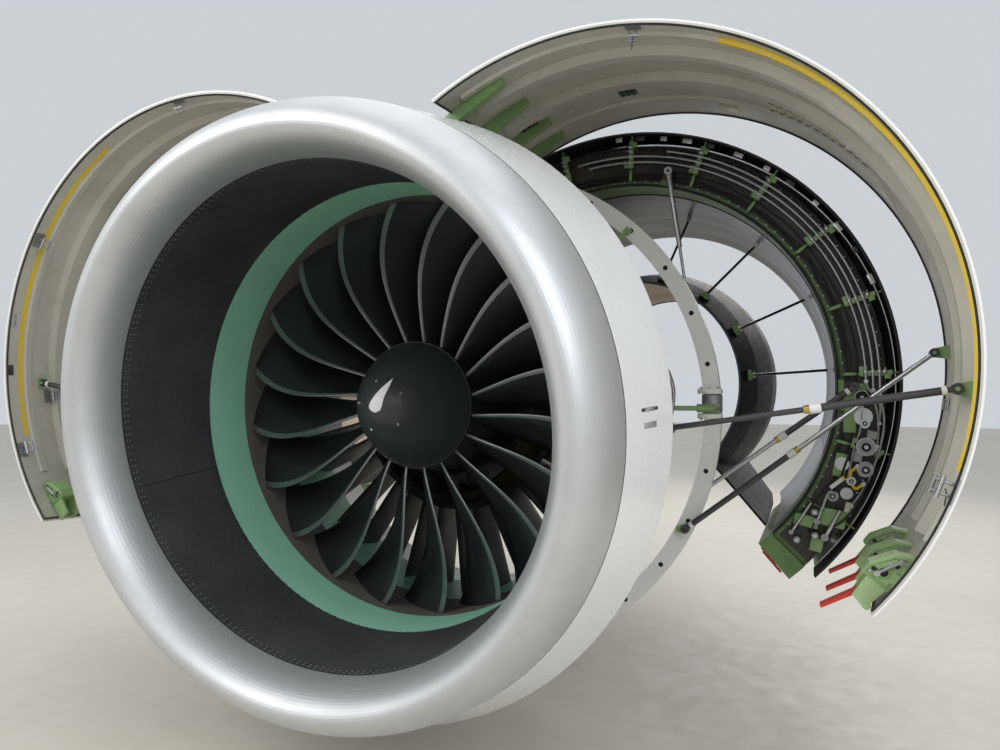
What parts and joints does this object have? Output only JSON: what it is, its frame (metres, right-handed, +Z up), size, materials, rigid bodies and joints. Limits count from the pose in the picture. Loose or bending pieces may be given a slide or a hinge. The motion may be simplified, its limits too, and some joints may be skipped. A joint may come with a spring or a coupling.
{
  "type": "turbofan engine",
  "caption": "Geared turbofan engine with its nacelle standing open: inlet, fan, core, pylon, swung-up fan cowls and thrust reverser halves on hold-open rods.",
  "frame": {"origin": "centre of the four mount bolt holes, at the bolted face on top of the pylon beam", "axes": "+Z up out of the bolted face, +Y aft along the engine axis, so the inlet faces -Y, and +X to the right seen from the front"},
  "size_m": [4.9403, 4.6394, 3.08],
  "materials": {
    "lip_metal": "satin",
    "white_paint": "gloss",
    "inner_white": "satin",
    "acoustic_grey": "matte",
    "bare_aluminium": "satin",
    "band_green": "satin",
    "rub_compound": "matte",
    "foil": "crumpled satin",
    "vane_dark": "satin",
    "bronze_alloy": "satin",
    "hot_alloy": "satin",
    "steel": "satin",
    "blade_black": "satin",
    "spinner_black": "satin",
    "primer_green": "satin",
    "composite_black": "satin",
    "red_paint": "satin",
    "dark_steel": "satin",
    "slate_grey": "satin",
    "gear_grey": "satin"
  },
  "bodies": {
    "engine": {"inlet_lip": "lip_metal", "inlet_outer_barrel": "white_paint", "inlet_acoustic_liner": "acoustic_grey", "inlet_bulkheads": "bare_aluminium", "fan_case": "bare_aluminium", "fan_case_liner": "band_green", "rub_strip": "rub_compound", "foil_blanket": "foil", "case_fittings": "bare_aluminium", "exit_guide_vanes": "vane_dark", "core_inlet": "bronze_alloy", "core_case": "hot_alloy", "exhaust_nozzle": "hot_alloy", "exhaust_plug": "hot_alloy", "accessory_gearbox": "gear_grey", "shaft_bearings": "steel", "reduction_gearbox": "gear_grey", "pylon": "white_paint", "support_ring": "white_paint", "ring_fittings": "primer_green"},
    "fan": {"spinner": "spinner_black", "fan_hub": "blade_black", "fan_blades": "blade_black"},
    "low_spool": {"low_shaft": "steel", "low_compressor": "steel", "low_turbine": "hot_alloy"},
    "high_spool": {"high_compressor": "steel", "high_turbine": "hot_alloy"},
    "right_cowl": {"right_cowl_skin": "inner_white", "right_cowl_ribs": "inner_white", "right_cowl_hinges": "primer_green", "right_cowl_latch_blocks": "primer_green"},
    "left_cowl": {"left_cowl_skin": "inner_white", "left_cowl_ribs": "inner_white", "left_cowl_hinges": "primer_green", "left_cowl_keepers": "primer_green"},
    "handle_1": {"latch_handle_1": "red_paint"},
    "handle_2": {"latch_handle_2": "red_paint"},
    "handle_3": {"latch_handle_3": "red_paint"},
    "right_reverser": {"right_tr_frame": "primer_green", "right_tr_fairing": "composite_black", "right_cascades": "dark_steel", "right_inner_structure": "composite_black", "right_tr_latches": "red_paint", "right_tr_tubes": "steel", "right_drag_links": "steel"},
    "right_sleeve_body": {"right_sleeve": "white_paint", "right_duct_wall": "slate_grey"},
    "left_reverser": {"left_tr_frame": "primer_green", "left_tr_fairing": "composite_black", "left_cascades": "dark_steel", "left_inner_structure": "composite_black"},
    "left_sleeve_body": {"left_sleeve": "white_paint", "left_duct_wall": "slate_grey"},
    "front_rod": {"cowl_front_rod": "dark_steel"},
    "back_rod": {"cowl_back_rod": "dark_steel"},
    "left_rod": {"left_cowl_rod": "dark_steel"},
    "reverser_rod": {"tr_hold_rod": "dark_steel"},
    "actuator_body": {"tr_actuator_body": "steel"},
    "actuator_rod": {"tr_actuator_rod": "steel"}
  },
  "joints": [
    {"name": "fan_spin", "type": "hinge", "parent": "engine", "child": "fan", "pos_m": [0, -1.3, -1.56], "axis": [0, -1, 0], "continuous": true},
    {"name": "low_spin", "type": "hinge", "parent": "engine", "child": "low_spool", "pos_m": [0, -0.1, -1.56], "axis": [0, -1, 0], "continuous": true},
    {"name": "high_spin", "type": "hinge", "parent": "engine", "child": "high_spool", "pos_m": [0, -0.2, -1.56], "axis": [0, -1, 0], "continuous": true},
    {"name": "right_cowl_hinge", "type": "hinge", "parent": "engine", "child": "right_cowl", "pos_m": [0.24, -1.22, -0.3], "axis": [0, 1, 0], "range_deg": [-8, 47]},
    {"name": "left_cowl_hinge", "type": "hinge", "parent": "engine", "child": "left_cowl", "pos_m": [-0.24, -1.22, -0.3], "axis": [0, -1, 0], "range_deg": [-6.5, 48.5]},
    {"name": "right_reverser_hinge", "type": "hinge", "parent": "engine", "child": "right_reverser", "pos_m": [0.2, 0, -0.34], "axis": [0, 1, 0], "range_deg": [-6.6, 38.6]},
    {"name": "left_reverser_hinge", "type": "hinge", "parent": "engine", "child": "left_reverser", "pos_m": [-0.2, 0, -0.34], "axis": [0, -1, 0], "range_deg": [-5.2, 38.6]},
    {"name": "right_sleeve_slide", "type": "slide", "parent": "right_reverser", "child": "right_sleeve_body", "axis": [0, 1, 0], "range_m": [0, 0.5]},
    {"name": "left_sleeve_slide", "type": "slide", "parent": "left_reverser", "child": "left_sleeve_body", "axis": [0, 1, 0], "range_m": [0, 0.5]},
    {"name": "front_rod_pivot", "type": "hinge", "parent": "right_cowl", "child": "front_rod", "pos_m": [2.33964, -1.638, -1.47396], "axis": [0, 1, 0], "range_deg": [-54.1, 9.3]},
    {"name": "back_rod_pivot", "type": "hinge", "parent": "right_cowl", "child": "back_rod", "pos_m": [2.36912, -0.742, -1.31067], "axis": [0, 1, 0], "range_deg": [-20.7, 3.6]},
    {"name": "left_rod_pivot", "type": "hinge", "parent": "left_cowl", "child": "left_rod", "pos_m": [-2.36378, -1.678, -1.45023], "axis": [0, -1, 0], "range_deg": [-52.9, 7.1]},
    {"name": "reverser_rod_pivot", "type": "hinge", "parent": "right_reverser", "child": "reverser_rod", "pos_m": [2.03403, -0.606, -1.46889], "axis": [0, 1, 0], "range_deg": [-36.7, 6.3]},
    {"name": "actuator_pivot", "type": "hinge", "parent": "right_reverser", "child": "actuator_body", "pos_m": [1.10809, -0.606, -0.29012], "axis": [0, 1, 0], "range_deg": [-68.6, 11.7]},
    {"name": "actuator_stroke", "type": "slide", "parent": "actuator_body", "child": "actuator_rod", "axis": [0.1434, 0, -0.9897], "range_m": [-0.251, 0.043]},
    {"name": "handle_1_pivot", "type": "hinge", "parent": "right_cowl", "child": "handle_1", "pos_m": [2.03013, -1.74, -2.25646], "axis": [0, -1, 0], "range_deg": [0, 200]},
    {"name": "handle_2_pivot", "type": "hinge", "parent": "right_cowl", "child": "handle_2", "pos_m": [2.05114, -1.4, -2.27605], "axis": [0, -1, 0], "range_deg": [0, 200]},
    {"name": "handle_3_pivot", "type": "hinge", "parent": "right_cowl", "child": "handle_3", "pos_m": [2.06346, -1.03, -2.28754], "axis": [0, -1, 0], "range_deg": [0, 200]}
  ],
  "couplings": [
    {"joint": "low_spin", "follows": "fan_spin", "ratio": -3},
    {"joint": "right_reverser_hinge", "follows": "right_cowl_hinge", "ratio": 0.8191},
    {"joint": "left_reverser_hinge", "follows": "left_cowl_hinge", "ratio": 0.7938},
    {"joint": "front_rod_pivot", "follows": "right_cowl_hinge", "ratio": -1.15},
    {"joint": "back_rod_pivot", "follows": "right_cowl_hinge", "ratio": -0.44},
    {"joint": "left_rod_pivot", "follows": "left_cowl_hinge", "ratio": -1.09},
    {"joint": "reverser_rod_pivot", "follows": "right_cowl_hinge", "ratio": -0.7784},
    {"joint": "actuator_pivot", "follows": "right_cowl_hinge", "ratio": -1.4572},
    {"joint": "actuator_stroke", "follows": "right_cowl_hinge", "m_per_rad": -0.3045}
  ]
}
